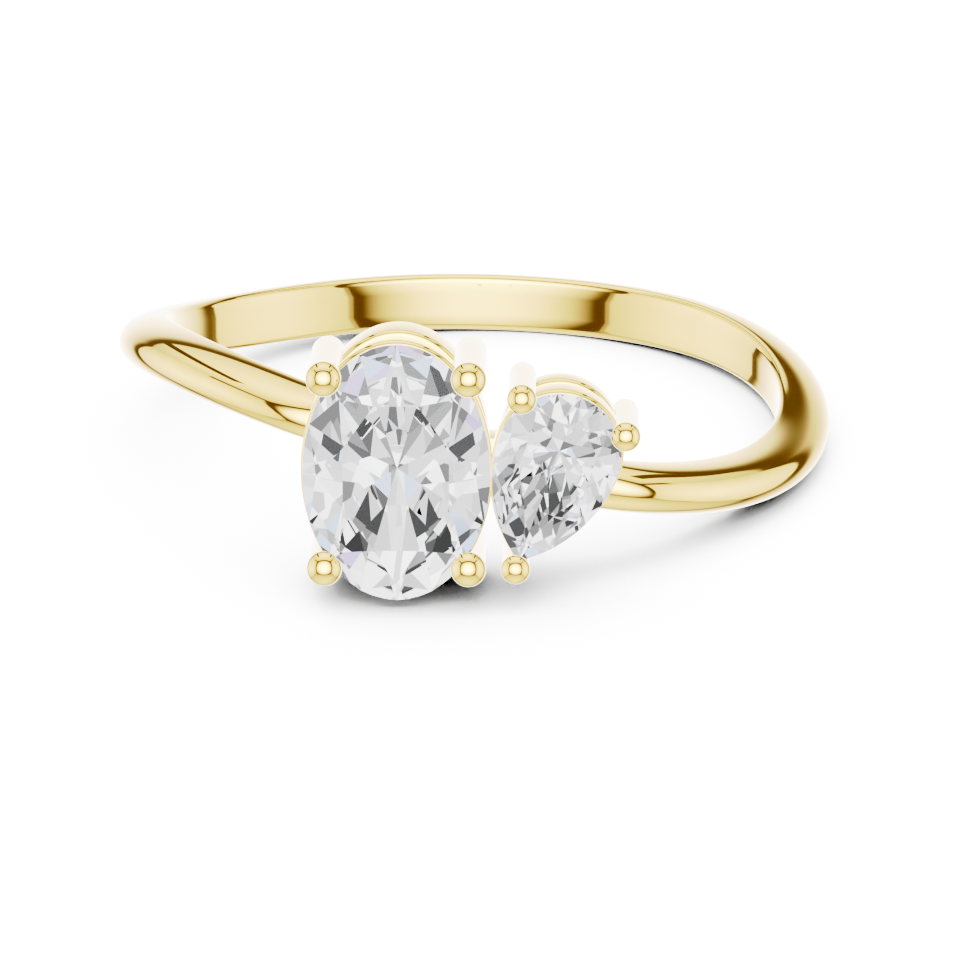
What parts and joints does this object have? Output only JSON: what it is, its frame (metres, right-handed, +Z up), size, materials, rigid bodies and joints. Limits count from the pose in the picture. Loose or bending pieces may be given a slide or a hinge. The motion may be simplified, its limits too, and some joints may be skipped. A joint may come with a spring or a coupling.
{
  "type": "toi et moi ring",
  "caption": "Toi et moi ring in yellow gold: a slim waved band that carries an oval and a smaller pear-shaped diamond side by side in open prong baskets.",
  "frame": {"origin": "on the surface that the ring lies on, below the middle of its outline as seen from above", "axes": "+Z up, +Y from the stones towards the back of the band, +X from the oval towards the pear; the finger hole's axis leans about 7 degrees from +Z towards +Y"},
  "size_m": [0.02, 0.0222, 0.0073],
  "materials": {
    "gold": "polished 14 carat yellow gold",
    "oval_diamond": "polished facets, colourless diamond",
    "pear_diamond": "polished facets, colourless diamond"
  },
  "bodies": {
    "root": {"gold_mount": "gold", "oval_stone": "oval_diamond", "pear_stone": "pear_diamond"}
  },
  "joints": []
}
